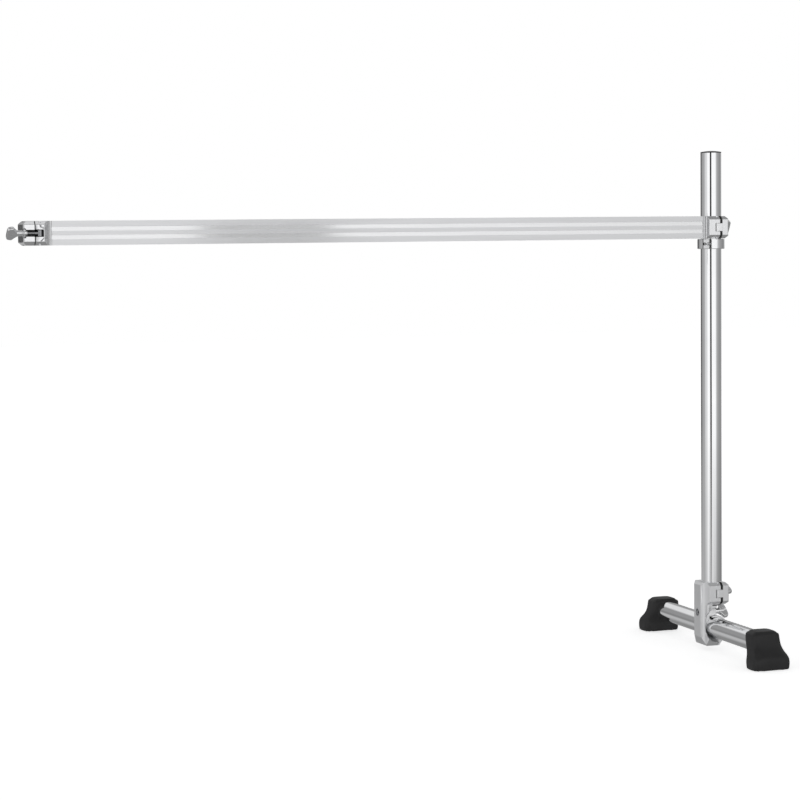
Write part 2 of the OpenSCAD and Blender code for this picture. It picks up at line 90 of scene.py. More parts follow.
# ---------------------------------------------------------------- mesh helpers
def new_object(name, bm, look, smooth=30):
    """An object of the mesh; edges of more than smooth degrees stay crisp."""
    bmesh.ops.recalc_face_normals(bm, faces=bm.faces)
    mesh = bpy.data.meshes.new(name)
    bm.to_mesh(mesh)
    bm.free()
    mesh.materials.append(look)
    obj = bpy.data.objects.new(name, mesh)
    scene.collection.objects.link(obj)
    mesh.shade_smooth()
    mesh.set_sharp_from_angle(angle=radians(smooth))
    return obj


def stand_in(obj, node):
    """obj is shown in the place of a CAD node, on that node's body."""
    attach(obj, body_of(node))
    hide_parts(node)


def rings(bm, loops, closed=True, cap=True):
    """Joins equal loops of points with quads, and closes both ends."""
    made = [[bm.verts.new(p) for p in loop] for loop in loops]
    n = len(made[0])
    for a, b in zip(made, made[1:]):
        for i in range(n if closed else n - 1):
            bm.faces.new((a[i], a[(i + 1) % n], b[(i + 1) % n], b[i]))
    if cap:
        bm.faces.new(made[0])
        bm.faces.new(made[-1])
    return made


def circles(profile, place, count):
    """A circle of points about place's X axis for each (along, radius)."""
    turns = [2 * pi * k / count for k in range(count)]
    return [[place @ Vector((a, r * cos(t), r * sin(t))) for t in turns] for a, r in profile]


def lathe(bm, profile, place, count):
    """Turns a profile about place's X axis into a form with closed ends."""
    rings(bm, circles(profile, place, count))


def lathe_round_hole(bm, profile, place, count):
    """Turns a profile that closes on itself, so that a hole goes through."""
    loops = circles(profile, place, count)
    rings(bm, loops + [loops[0]], cap=False)
    bmesh.ops.remove_doubles(bm, verts=bm.verts, dist=WELD)


# ---------------------------------------------------------------- node helpers
def noise(nt, coords, scale, detail, stretch=(1, 1, 1)):
    mapping = nt.nodes.new("ShaderNodeMapping")
    mapping.inputs["Scale"].default_value = stretch
    nt.links.new(coords, mapping.inputs["Vector"])
    tex = nt.nodes.new("ShaderNodeTexNoise")
    tex.inputs["Scale"].default_value = scale
    tex.inputs["Detail"].default_value = detail
    nt.links.new(mapping.outputs["Vector"], tex.inputs["Vector"])
    return tex.outputs["Fac"]


def spread(nt, value, low, high, start=0.3, end=0.7):
    """Maps start..end, by default the middle of a noise, to low..high."""
    r = nt.nodes.new("ShaderNodeMapRange")
    r.inputs["From Min"].default_value = start
    r.inputs["From Max"].default_value = end
    r.inputs["To Min"].default_value = low
    r.inputs["To Max"].default_value = high
    nt.links.new(value, r.inputs["Value"])
    return r.outputs["Result"]


def mix(nt, factor, a, b):
    """Mixes two colours, each a socket or an (r, g, b)."""
    node = nt.nodes.new("ShaderNodeMix")
    node.data_type = "RGBA"
    nt.links.new(factor, node.inputs["Factor"])
    for socket, value in (("A", a), ("B", b)):
        if isinstance(value, tuple):
            node.inputs[socket].default_value = (*value, 1)
        else:
            nt.links.new(value, node.inputs[socket])
    return node.outputs["Result"]


def calculate(nt, operation, *values):
    """A Math node on sockets or plain numbers."""
    node = nt.nodes.new("ShaderNodeMath")
    node.operation = operation
    for socket, value in zip(node.inputs, values):
        if isinstance(value, (int, float)):
            socket.default_value = value
        else:
            nt.links.new(value, socket)
    return node.outputs[0]


def bump(nt, bsdf, height, strength, distance):
    b = nt.nodes.new("ShaderNodeBump")
    b.inputs["Strength"].default_value = strength
    b.inputs["Distance"].default_value = distance
    nt.links.new(height, b.inputs["Height"])
    nt.links.new(b.outputs["Normal"], bsdf.inputs["Normal"])


# ---------------------------------------------------------------- materials
def material(name, base, rough, metal, build):
    """A material whose nodes build adds. A viewer that reads no nodes has the plain base and rough."""
    m = bpy.data.materials.new(name)
    m.use_nodes = True
    nt = m.node_tree
    bsdf = nt.nodes["Principled BSDF"]
    bsdf.inputs["Base Color"].default_value = (*base, 1)
    bsdf.inputs["Roughness"].default_value = rough
    bsdf.inputs["Metallic"].default_value = metal
    build(nt, bsdf, nt.nodes.new("ShaderNodeTexCoord").outputs["Object"])
    return m


def plated(stain, grain_scale, stretch, rough, tone):
    """Polished or satin metal: cloudy from tone to stain, fine grain along stretch, uneven gloss."""
    def build(nt, bsdf, coords):
        cloud = noise(nt, coords, scale=18, detail=3)
        nt.links.new(mix(nt, spread(nt, cloud, 0, 1), tone, stain), bsdf.inputs["Base Color"])
        grain = noise(nt, coords, grain_scale, detail=4, stretch=stretch)
        nt.links.new(spread(nt, grain, *rough), bsdf.inputs["Roughness"])
        bump(nt, bsdf, grain, strength=0.12, distance=0.00002)
    return build


def extruded(nt, bsdf, coords):
    """Anodised bar: light, satin lands and smoother, darker grooves, with fine drawn lines along X."""
    split = nt.nodes.new("ShaderNodeSeparateXYZ")
    nt.links.new(coords, split.inputs["Vector"])
    sides = [calculate(nt, "ABSOLUTE", split.outputs[axis]) for axis in ("Y", "Z")]
    half = extent("bar_extrusion").y / 2
    land = spread(nt, calculate(nt, "MAXIMUM", *sides), 0, 1, start=half - 0.0011, end=half - 0.0004)
    nt.links.new(mix(nt, land, (0.87, 0.875, 0.88), (0.945, 0.95, 0.96)), bsdf.inputs["Base Color"])
    lines = noise(nt, coords, scale=900, detail=4, stretch=(0.012, 1, 1))
    land_rougher = 0.22
    nt.links.new(calculate(nt, "MULTIPLY_ADD", land, land_rougher, spread(nt, lines, 0.20, 0.27)),
                 bsdf.inputs["Roughness"])
    bump(nt, bsdf, lines, strength=0.15, distance=0.00002)


def moulded(nt, bsdf, coords):
    """Black rubber: fine pebbled skin with dusty patches."""
    dust = noise(nt, coords, scale=35, detail=4)
    nt.links.new(mix(nt, spread(nt, dust, 0, 1), (0.010, 0.010, 0.0105), (0.016, 0.016, 0.0165)),
                 bsdf.inputs["Base Color"])
    skin = noise(nt, coords, scale=1400, detail=2)
    nt.links.new(spread(nt, skin, 0.46, 0.60), bsdf.inputs["Roughness"])
    bsdf.inputs["Specular IOR Level"].default_value = 0.45
    bump(nt, bsdf, skin, strength=0.3, distance=0.0001)


def black_plastic_and_painted_shade(nt, bsdf, coords):
    """Near-black smooth skin: the plastic plugs' own colour, and painted shade on the insides of the castings.
    """
    skin = noise(nt, coords, scale=900, detail=2)
    nt.links.new(mix(nt, spread(nt, skin, 0, 1), (0.010, 0.010, 0.011), (0.016, 0.016, 0.017)),
                 bsdf.inputs["Base Color"])
    nt.links.new(spread(nt, skin, 0.32, 0.45), bsdf.inputs["Roughness"])
    bump(nt, bsdf, skin, strength=0.15, distance=0.00005)


chrome_post = material("chrome_drawn_z", (0.9, 0.9, 0.91), 0.05, 1,
                       plated((0.87, 0.875, 0.885), 700, (1, 1, 0.02), (0.025, 0.07), (0.91, 0.915, 0.92)))
chrome_leg = material("chrome_drawn_y", (0.9, 0.9, 0.91), 0.05, 1,
                      plated((0.84, 0.845, 0.855), 700, (1, 0.02, 1), (0.03, 0.08), (0.88, 0.885, 0.89)))
cast_metal = material("cast_satin", (0.8, 0.8, 0.81), 0.2, 1,
                      plated((0.89, 0.895, 0.905), 260, (1, 1, 1), (0.21, 0.27), (0.92, 0.925, 0.93)))
foot_metal = material("cast_tumbled", (0.8, 0.8, 0.81), 0.4, 1,
                      plated((0.89, 0.895, 0.905), 320, (1, 1, 1), (0.38, 0.46), (0.92, 0.925, 0.93)))
# A darker, rougher copy of the polished metal for the post-end clamp's shoulders; the darker colour is painted
# shade
shoulder_shade_copy = material("shoulder_painted_shade", (0.55, 0.55, 0.56), 0.35, 1,
                   plated((0.50, 0.505, 0.515), 500, (1, 1, 1), (0.30, 0.38), (0.56, 0.565, 0.575)))
fittings = material("turned_chrome", (0.85, 0.85, 0.86), 0.1, 1,
                    plated((0.85, 0.855, 0.865), 500, (1, 1, 1), (0.10, 0.15), (0.89, 0.895, 0.90)))
steel = material("zinc_steel", (0.5, 0.5, 0.52), 0.3, 1,
                 plated((0.36, 0.365, 0.375), 600, (1, 1, 1), (0.2, 0.36), (0.52, 0.525, 0.54)))
satin_bar = material("satin_extrusion", (0.75, 0.75, 0.76), 0.3, 1, extruded)
# Near-black painted shade for the insides of castings and collar (bores, splits, slots), standing in for the
# shade there
painted_shade_black = material("painted_shade_insides", (0.05, 0.05, 0.05), 0.6, 0, black_plastic_and_painted_shade)
rubber = material("moulded_rubber", (0.012, 0.012, 0.013), 0.6, 0, moulded)
plastic = material("smooth_plastic", (0.02, 0.02, 0.02), 0.4, 0, black_plastic_and_painted_shade)


# ---------------------------------------------------------------- rounded castings
CLAMP_HALF = 0.0205  # half the height of a clamp's casting
CORNER = 0.006  # its mitred corner
ON_FACE = 4e-5  # how near a point is to a face that it is on
BORE_FIT = 0.0006  # the same for the bore round a tube
POLISHED, PAINTED_SHADE, SHOULDER = 0, 1, 2  # material slots of a casting; the second holds near-black painted shade


class Clamp:
    """A tube clamp's own frame: bore along Z, jaw towards +X, hinge at -Y."""
    def __init__(self, name):
        jaw = middle(name + "_jaw")
        tube = Vector((0, 0, 0)) if name == "rack_end" else Vector((post_x, post_y, 0))
        self.side = 1 if jaw.x > tube.x else -1
        self.origin = Vector((tube.x, tube.y, jaw.z))

    def turn(self, n):
        return Vector((n.x * self.side, n.y * self.side, n.z))

    def local(self, p):
        return self.turn(p - self.origin)

    def world(self, p):
        return self.origin + self.turn(p)


def inside_clamp(clamp, jaw):
    """Tells the faces of a clamp's casting or jaw that get painted shade: its bore, split faces and slots."""
    def test(centre, normal):
        p, n = clamp.local(centre), clamp.turn(normal)
        if abs(p.z) > CLAMP_HALF + 0.0015:
            return False
        if abs(hypot(p.x, p.y) - tube_r) < BORE_FIT and abs(n.z) < 0.2:
            return True
        if jaw:
            split = n.x < -0.9 and p.x < 0.011
            slot = p.y > 0.018 and abs(p.z) < 0.0066 and p.x < 0.018 and abs(n.x) < 0.5
        else:
            split = n.x > 0.9 and p.x < 0.006
            slot = (abs(p.y) > 0.019 and abs(p.z) < 0.0079 and abs(n.x) < 0.2
                    and p.x > -0.0125 and (abs(n.z) > 0.9 or abs(p.y) < 0.021))
        return split or slot
    return test


def inside_hook(centre, normal):
    """Tells the faces round the leg tube that get painted shade: the bore and the split."""
    x, z = centre.x - leg_axis.x, centre.z - leg_axis.z
    bore = abs(hypot(x, z) - tube_r) < BORE_FIT and abs(normal.y) < 0.2
    return bore or (-0.0125 < x < -0.009 and abs(normal.x) > 0.9)


def flare(bm, clamp, ends, power, foot):
    """Hollows a casting's flat shoulder between two plan points into a flared curve. Returns its faces."""
    (xa, ya), (xb, yb) = ends
    strips = 7
    for k in range(1, strips):
        cut = clamp.world(Vector((xa + (xb - xa) * k / strips, 0, 0)))
        geom = list(bm.verts) + list(bm.edges) + list(bm.faces)
        bmesh.ops.bisect_plane(bm, geom=geom, dist=WELD, plane_co=cut, plane_no=(1, 0, 0))

    def on_shoulder(p, margin=0.0):
        flat_y = ya + (yb - ya) * (p.x - xa) / (xb - xa)
        return xa + margin < p.x < xb - margin and abs(p.y - flat_y) <= ON_FACE

    shoulder = [f for f in bm.faces if on_shoulder(clamp.local(f.calc_center_median()))]
    mitre_sum = CLAMP_HALF + abs(yb) - CORNER  # |y| + |z| on the mitred corner
    for v in bm.verts:
        p = clamp.local(v.co)
        if not on_shoulder(p, 1e-5):
            continue
        y = ya + (yb - ya) * ((p.x - xa) / (xb - xa)) ** power
        z = p.z
        mitre = abs(abs(z) + abs(p.y) - mitre_sum) < ON_FACE and abs(z) > CLAMP_HALF - CORNER - 1e-5
        if mitre and not (foot and z < 0):
            z = min(CLAMP_HALF, mitre_sum - abs(y)) * (1 if z > 0 else -1)
        v.co = clamp.world(Vector((p.x, y, z)))
    return shoulder


def casting(node, width, shade_faces_test, hollows=(), clamp=None, foot=False, metal=None):
    """A CAD casting with flared shoulders, edges rounded by width, and near-black painted shade on its insides.
    """
    bm = bmesh.new()
    bm.from_mesh(nodes[node].data)
    bmesh.ops.remove_doubles(bm, verts=bm.verts, dist=2e-6)
    bmesh.ops.dissolve_limit(bm, angle_limit=radians(0.4), verts=bm.verts, edges=bm.edges)
    shoulders = set()
    for ends, power in hollows:
        shoulders.update(flare(bm, clamp, ends, power, foot))
    shoulders = {f for f in shoulders if f.is_valid}
    bm.normal_update()
    for f in bm.faces:
        # Bore, split and slot faces get near-black painted shade, a dark stand-in for the shade inside the clamp
        in_painted_shade = shade_faces_test(f.calc_center_median(), f.normal)
        f.material_index = SHOULDER if f in shoulders else PAINTED_SHADE if in_painted_shade else POLISHED
    shortest, sharpest = 0.0022, radians(28)
    corners = [e for e in bm.edges if len(e.link_faces) == 2 and e.calc_length() > shortest
               and e.calc_face_angle() > sharpest and all(f.material_index != PAINTED_SHADE for f in e.link_faces)]
    bmesh.ops.bevel(bm, geom=corners, offset=width, offset_type="OFFSET", segments=3, profile=0.5,
                    affect="EDGES", clamp_overlap=False, material=-1, harden_normals=False)
    obj = new_object("cast_" + node, bm, metal or cast_metal, 32)
    # Slot 1: near-black painted shade
    obj.data.materials.append(painted_shade_black)
    # Slot 2: the shoulders; where the clamp has no metal of its own, the darker copy that is painted shade
    obj.data.materials.append(metal or shoulder_shade_copy)
    flat = obj.modifiers.new("flat_faces", "WEIGHTED_NORMAL")
    flat.mode = "FACE_AREA"
    flat.weight = 100
    flat.keep_sharp = True
    return obj


# ---------------------------------------------------------------- wing nuts, bolts and washers
def facing(node):
    """1 for a part that points along +X, -1 for one on the rack end, which points along -X."""
    return -1 if node.startswith("rack_end") else 1


def wing_turn(node, centre):
    """How far a wing nut is turned about its bolt, from the spread of its points."""
    pts = [(v.co.y - centre.y, v.co.z - centre.z) for v in nodes[node].data.vertices]
    a = sum(y * y - z * z for y, z in pts)
    b = sum(2 * y * z for y, z in pts)
    return atan2(b, a) / 2


def soften(points, times):
    """Rounds a closed outline by cutting its corners."""
    for _ in range(times):
        cut = []
        for a, b in zip(points, points[1:] + points[:1]):
            cut += [a * 0.75 + b * 0.25, a * 0.25 + b * 0.75]
        points = cut
    return points


# Half the wings' outline from the neck, along and across, in mm
HALF_WING = [(0, 5.2), (2.2, 7.4), (4.6, 10.6), (6.0, 13.6), (7.4, 15.6), (9.6, 15.75), (12.4, 15.1),
             (15.2, 13.9), (16.9, 11.6), (17.1, 7.5), (17.1, 3.0)]
# Rounded rim of the wings: inset in metres, part of the half thickness
WING_RIM = [(0.0016, 1), (0.0008, 0.94), (0.00025, 0.76), (0, 0.45)]


def wing_nut(node):
    """Cast wing nut: a round hub with a flared collar, and two thick wings with rounded rims."""
    seat = node.replace("wing_nut", "seat_washer")
    centre, sign, length = middle(node), facing(node), extent(node).x
    centre.y, centre.z = middle(seat).y, middle(seat).z
    neck = length - 0.017  # the wings take up the last 17 mm
    place = (Matrix.Translation(centre - Vector((sign * length / 2, 0, 0)))
             @ Matrix.Rotation(wing_turn(node, centre), 4, "X") @ Matrix.Diagonal((sign, 1, 1, 1)))
    r = extent(seat).y / 2 * 0.67
    hub = [(0, 0.55), (0, 0.9), (0.0006, 1), (neck * 0.45, 1), (neck * 0.8, 1.03), (neck + 0.002, 1.18),
           (neck + 0.009, 1.22), (neck + 0.0145, 1.05), (neck + 0.0158, 0.8), (neck + 0.0158, 0.72),
           (neck + 0.0145, 0.68), (neck + 0.0145, 0.01)]
    bm = bmesh.new()
    lathe(bm, [(x, r * part) for x, part in hub], place, 40)
    half = [Vector((neck + x / 1000, y / 1000)) for x, y in HALF_WING]
    outline = soften(half + [Vector((p.x, -p.y)) for p in reversed(half)], 2)
    n = len(outline)

    def at(q, level):
        """The point over q of the outline's plane, at a part of the wing's half thickness there."""
        return place @ Vector((q.x, q.y, level * (0.0045 - 0.0011 * min(1, abs(q.y) / 0.0155) ** 1.4)))

    loops = []
    for inset, level in WING_RIM + [(inset, -level) for inset, level in reversed(WING_RIM)]:
        loop = []
        for i, p in enumerate(outline):
            run = (outline[(i + 1) % n] - outline[i - 1]).normalized()
            at_neck = p.x <= neck + 0.0005
            loop.append(at(p + Vector((run.y, -run.x)) * inset * (0.4 if at_neck else 1), level))
        loops.append(loop)
    made = rings(bm, loops, cap=False)
    back = place.inverted()
    for ring, level in ((made[0], 1), (made[-1], -1)):
        rows = []
        for a, b in zip(ring[:n // 2], reversed(ring[n // 2:])):
            pa, pb = back @ a.co, back @ b.co
            rows.append([a] + [bm.verts.new(at(pa.lerp(pb, k / 8), level)) for k in range(1, 8)] + [b])
        for a, b in zip(rows, rows[1:]):
            for k in range(8):
                bm.faces.new((a[k], a[k + 1], b[k + 1], b[k]))
        bm.faces.new(rows[0])
        bm.faces.new(rows[-1])
    return new_object("wing_" + node, bm, cast_metal, 40)


def thread(bm, place, start, end, radius, pitch=0.00125, depth=0.0004, count=20):
    """Helical thread round place's X axis."""
    steps = int((end - start) / pitch * 4)
    loops = []
    for i in range(steps + 1):
        x = start + (end - start) * i / steps
        loop = []
        for k in range(count):
            phase = ((x / pitch) - k / count) % 1
            r = radius - depth * abs(2 * phase - 1)
            a = 2 * pi * k / count
            loop.append(place @ Vector((x, r * cos(a), r * sin(a))))
        loops.append(loop)
    rings(bm, loops)


def swing_bolt(clamp_name):
    """Forged eye bolt: an eye round its pin, a plain shoulder and a threaded shank."""
    node = clamp_name + "_swing_bolt"
    pin = clamp_name + "_pivot_pin"
    size = extent(node)
    centre = Vector((middle(pin).x, middle(pin).y, middle(node).z))
    pin_r, eye_r, h = extent(pin).x / 2 + 0.00006, size.y / 2, size.z / 2
    reach = size.x - eye_r
    edge = 0.0007
    bm = bmesh.new()
    eye = [(-h, pin_r), (-h, eye_r - edge), (-h + edge, eye_r), (h - edge, eye_r), (h, eye_r - edge), (h, pin_r)]
    lathe_round_hole(bm, eye, Matrix.Translation(centre) @ Matrix.Rotation(radians(90), 4, "Y"), 40)
    place = Matrix.Translation(centre) @ Matrix.Diagonal((facing(node), 1, 1, 1))
    lathe(bm, [(eye_r * 0.7, 0.0030), (eye_r + 0.002, 0.0030), (eye_r + 0.004, 0.00285)], place, 24)
    thread(bm, place, eye_r + 0.0038, reach - 0.0006, 0.003)
    lathe(bm, [(reach - 0.0008, 0.0027), (reach, 0.0021)], place, 24)
    return new_object("bolt_" + node, bm, steel, 40)


def washer(node):
    """Seat washer with a turned, rounded rim and, where the CAD's is deeper, a stepped boss."""
    centre, sign, size = middle(node), facing(node), extent(node)
    r, rim, hole = size.y / 2, 0.0036, 0.0032
    boss = size.x - rim
    place = Matrix.Translation(centre - Vector((sign * size.x / 2, 0, 0))) @ Matrix.Diagonal((sign, 1, 1, 1))
    profile = [(0, hole)]
    if boss > 0.0005:
        profile += [(0, 0.0050), (0.0002, 0.0052), (boss, 0.0052)]
    profile += [(boss, r - 0.0005), (boss + 0.0004, r), (boss + 0.0022, r), (boss + 0.0031, r - 0.0011),
                (boss + rim, r - 0.0026), (boss + rim, hole)]
    bm = bmesh.new()
    lathe_round_hole(bm, profile, place, 48)
    return new_object("washer_" + node, bm, fittings, 35)


# ---------------------------------------------------------------- memory collar
def collar_place():
    """The collar's frame: Z up the post, X through its split, which faces away from its hinge pin."""
    pin = middle("collar_hinge_pin")
    axis = Vector((post_x, post_y, middle("collar_shell").z))
    away = axis - pin
    return Matrix.Translation(axis) @ Matrix.Rotation(atan2(away.y, away.x), 4, "Z")


def collar_half(node, side):
    """Half of the collar's ring, with turned edges and its knuckle. The gate has the key bolt's lug."""
    place = collar_place()
    height = extent("collar_shell").z / 2
    outer, inner, edge, slot = tube_r + 0.0059, tube_r + 0.0001, 0.0009, 0.0027
    gate = side < 0
    # The gate's lug ends at one angle from the split, and the groove beside it at another
    lug, lug_middle, groove = radians(29), radians(18.5), radians(33)
    step = radians(0.04)
    turns = [radians(2.2) + radians(168.8) * k / 76 for k in range(77)]
    if gate:
        turns = sorted([t for t in turns if abs(t - lug) > 0.01 and abs(t - groove) > 0.01]
                       + [lug, lug + step, groove - step, groove])
    loops = []
    for t in turns:
        rim = outer
        if gate and t < lug + step / 2:
            rim = (outer * 0.97 + 0.0004) / cos(t - lug_middle)
        elif gate and t < groove - step / 2:
            rim = outer - 0.0026
        slot_r = outer - 0.0044 if gate and t < groove - step / 2 else rim
        section = [(inner, -height), (rim - edge, -height), (rim, edge - height), (rim, -slot), (slot_r, -slot),
                   (slot_r, slot), (rim, slot), (rim, height - edge), (rim - edge, height), (inner, height)]
        loops.append([place @ Vector((q * cos(t), side * q * sin(t), z)) for q, z in section])
    bm = bmesh.new()
    rings(bm, loops)
    bmesh.ops.remove_doubles(bm, verts=bm.verts, dist=WELD)
    bmesh.ops.recalc_face_normals(bm, faces=bm.faces)
    back = place.inverted()
    for f in bm.faces:
        c, n = back @ f.calc_center_median(), back.to_3x3() @ f.normal
        r = hypot(c.x, c.y)
        split_face = abs(n.x * c.y - n.y * c.x) / r > 0.9
        slot_floor = gate and abs(c.z) < 0.001 and r < outer - 0.004 and c.x > 0 and n.z < 0.1
        # Split faces and the gate's slot floor get near-black painted shade, standing in for the shade in the
        # gap
        f.material_index = PAINTED_SHADE if split_face or slot_floor else POLISHED
    pin = Vector((-(Vector((post_x, post_y)) - middle("collar_hinge_pin").xy).length, 0, 0))
    upright = place @ Matrix.Translation(pin) @ Matrix.Rotation(radians(-90), 4, "Y")
    for low, high in [(-0.003, 0.003)] if gate else [(-height, -0.0036), (0.0036, height)]:
        knuckle = [(low, 0.0005), (low, 0.0030), (low + 0.0005, 0.0036),
                   (high - 0.0005, 0.0036), (high, 0.0030), (high, 0.0005)]
        lathe(bm, knuckle, upright, 32)
    obj = new_object("collar_" + node, bm, fittings, 35)
    # Slot 1: near-black painted shade
    obj.data.materials.append(painted_shade_black)
    return obj


def key_bolt():
    """Square-headed key bolt lying across the collar's split."""
    across = Matrix.Rotation(radians(-90), 4, "Z")
    place = collar_place() @ Matrix.Translation((tube_r + 0.0036, 0.0, 0)) @ across
    bm = bmesh.new()
    lathe(bm, [(-0.003, 0.0016), (-0.0025, 0.0021), (0.0028, 0.0021), (0.0028, 0.0024), (0.0031, 0.0026),
               (0.0042, 0.0026), (0.0045, 0.0024), (0.0045, 0.0018)], place, 32)
    place = place @ Matrix.Rotation(radians(45), 4, "X")
    loops = []
    for x, half in ((0.0045, 0.0021), (0.0106, 0.0021), (0.0112, 0.0017)):
        corner = half * 0.82
        square = [(half, -corner), (half, corner), (corner, half), (-corner, half),
                  (-half, corner), (-half, -corner), (-corner, -half), (corner, -half)]
        loops.append([place @ Vector((x, y, z)) for y, z in square])
    rings(bm, loops)
    return new_object("key_bolt", bm, fittings, 35)


# ---------------------------------------------------------------- rubber feet
# Height, half width, start and end outward from the inner face (all in mm), squareness
FOOT = [(0.0, 34.6, 18.0, 58.4, 5.0), (2.2, 35.6, 16.6, 59.4, 5.0), (9, 36.0, 16.0, 59.8, 5.5),
        (15, 35.9, 15.8, 59.7, 5.5), (20, 35.2, 15.2, 59.0, 5.2), (25, 33.4, 12.2, 56.4, 4.8),
        (30, 31.3, 7.6, 51.6, 4.4), (36, 29.4, 2.6, 46.2, 4.2), (43, 28.2, -1.8, 42.2, 4.2),
        (50, 27.6, -4.0, 39.6, 4.4), (57, 26.8, -4.6, 38.2, 4.6), (60.8, 25.7, -4.3, 37.5, 4.6),
        (65.3, 19.4, -0.8, 33.8, 4.4), (66.0, 17.0, 0.8, 32.4, 4.2)]
FOOT_TOP, FOOT_CHAMFER = 66, 60  # heights in mm: the table's top, and where its crisp chamfer starts


def foot_levels():
    """FOOT with smooth in-between rows up to the chamfer."""
    levels = []
    for i, row in enumerate(FOOT[:-1]):
        four = (FOOT[max(i - 1, 0)], row, FOOT[i + 1], FOOT[min(i + 2, len(FOOT) - 1)])
        for s in (0,) if row[0] > FOOT_CHAMFER else (0, 1 / 3, 2 / 3):
            levels.append([0.5 * (2 * q1 + (q2 - q0) * s + (2 * q0 - 5 * q1 + 4 * q2 - q3) * s * s
                                  + (3 * q1 - q0 - 3 * q2 + q3) * s ** 3) for q0, q1, q2, q3 in zip(*four)])
    return levels + [FOOT[-1]]


def foot(node):
    """Moulded rubber foot: a scalloped base that spreads outward, drawn up over the end of the leg tube."""
    low, high = (Vector(c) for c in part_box(node))
    out = 1 if (low.y + high.y) / 2 > leg_axis.y else -1
    inner = low.y if out > 0 else high.y
    cx, count, scallops = (low.x + high.x) / 2, 96, 14
    loops = []
    for z, half_w, start, end, power in foot_levels():
        y0, y1 = inner + out * start / 1000, inner + out * end / 1000
        cy, half_l = (y0 + y1) / 2, abs(y1 - y0) / 2
        loop = []
        for k in range(count):
            a = 2 * pi * k / count
            c, q = cos(a), sin(a)
            px = abs(c) ** (2 / power) * (1 if c >= 0 else -1) * half_w / 1000
            py = abs(q) ** (2 / power) * (1 if q >= 0 else -1) * half_l
            dip = 0.0007 * (0.5 - 0.5 * cos(scallops * a)) if z < 1 else 0
            loop.append(Vector((cx + px, cy + py, low.z + z / FOOT_TOP * (high.z - low.z) + dip)))
        loops.append(loop)
    bm = bmesh.new()
    rings(bm, loops)
    return new_object("foot_" + node, bm, rubber, 28)


# ---------------------------------------------------------------- camera, floor and light
def camera():
    """The photograph's view, fitted to its outlines."""
    data = bpy.data.cameras.new("camera")
    data.sensor_width = 36.0
    data.lens = 103.34
    data.clip_end = 50
    cam = bpy.data.objects.new("camera", data)
    scene.collection.objects.link(cam)
    yaw, pitch, roll = radians(18.726), radians(3.871), radians(-0.627)
    look = Matrix.Rotation(radians(90) - pitch, 4, "X") @ Matrix.Rotation(roll, 4, "Z")
    cam.matrix_world = Matrix.Translation((-0.6603, -3.8477, -0.0255)) @ Matrix.Rotation(-yaw, 4, "Z") @ look
    scene.camera = cam


def stage_object(name, bm):
    """An object of the studio with a material of its own. Returns it, the material's nodes and its shader."""
    mesh = bpy.data.meshes.new(name)
    bm.to_mesh(mesh)
    bm.free()
    obj = bpy.data.objects.new(name, mesh)
    scene.collection.objects.link(obj)
    m = bpy.data.materials.new(name)
    m.use_nodes = True
    mesh.materials.append(m)
    return obj, m.node_tree, m.node_tree.nodes["Principled BSDF"]


def pale_floor():
    bm = bmesh.new()
    bmesh.ops.create_grid(bm, x_segments=8, y_segments=8, size=14)
    floor, nt, bsdf = stage_object("floor", bm)
    floor.location = (post_x / 2, 0, floor_z - 0.0004)
    bsdf.inputs["Roughness"].default_value = 0.9
    bsdf.inputs["Specular IOR Level"].default_value = 0.1
    tone = noise(nt, nt.nodes.new("ShaderNodeTexCoord").outputs["Object"], scale=3, detail=2)
    nt.links.new(mix(nt, tone, (0.88, 0.88, 0.88), (0.9, 0.9, 0.9)), bsdf.inputs["Base Color"])
    bsdf.inputs["Emission Color"].default_value = (1, 1, 1, 1)
    bsdf.inputs["Emission Strength"].default_value = 0.62
    floor.visible_glossy = False
    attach(floor, body_of("foot_body"))  # the rubber feet stay on it when the post slides


def card(name, centre, width, height, tone):
    """An upright card in front of the object that only its reflections show."""
    x, y, z = centre
    bm = bmesh.new()
    rings(bm, [[(x - width / 2, y, z), (x + width / 2, y, z)],
               [(x - width / 2, y, z + height), (x + width / 2, y, z + height)]], closed=False, cap=False)
    obj, _, bsdf = stage_object(name, bm)
    bsdf.inputs["Base Color"].default_value = (tone, tone, tone, 1)
    bsdf.inputs["Roughness"].default_value = 1
    bsdf.inputs["Specular IOR Level"].default_value = 0
    obj.visible_camera = False
    obj.visible_shadow = False
    obj.visible_diffuse = False


# Brightness of the studio round the object: (degrees from -Y, positive towards +X; brightness)
WALLS = [(-180, 0.07), (-159, 0.07), (-153, 0.27), (-131, 0.38), (-104, 0.44), (-96, 0.68), (-72, 0.81),
         (-63, 1.1), (-39, 1.08), (-37.5, 0.03), (-21.5, 0.03), (-20, 1.08), (20, 1.06), (27, 0.98), (32, 0.62),
         (44, 0.44), (60, 0.35), (86, 0.3), (96, 0.25), (110, 0.25), (116, 0.62), (140, 0.62), (152, 0.22),
         (180, 0.2)]
# The same from just above eye level: a grey wall closes the dark gap at the back
HIGH_WALLS = [(-180, 0.32), (-150, 0.32)] + [w for w in WALLS if -135 < w[0] < 150] + [(152, 0.34), (180, 0.32)]
# The same from low down, where the floor's glow evens it out
LOW_WALLS = [(-180, 0.5), (-150, 0.52), (-115, 0.42), (-86, 0.5), (-74, 0.65), (-62, 0.88), (-50, 0.55),
             (-40, 0.42), (-18, 0.7), (5, 0.46), (30, 0.34), (60, 0.25), (100, 0.2), (150, 0.38), (180, 0.5)]
# Brightness overhead, by the sine of the height: lit walls, a softer ceiling, a lamp at the top
CEILING = [(0.3, 0.85), (0.48, 0.8), (0.66, 0.36), (0.93, 0.24), (0.97, 0.6), (0.99, 0.85)]
GROUND = (0.26, 0.26, 0.26)


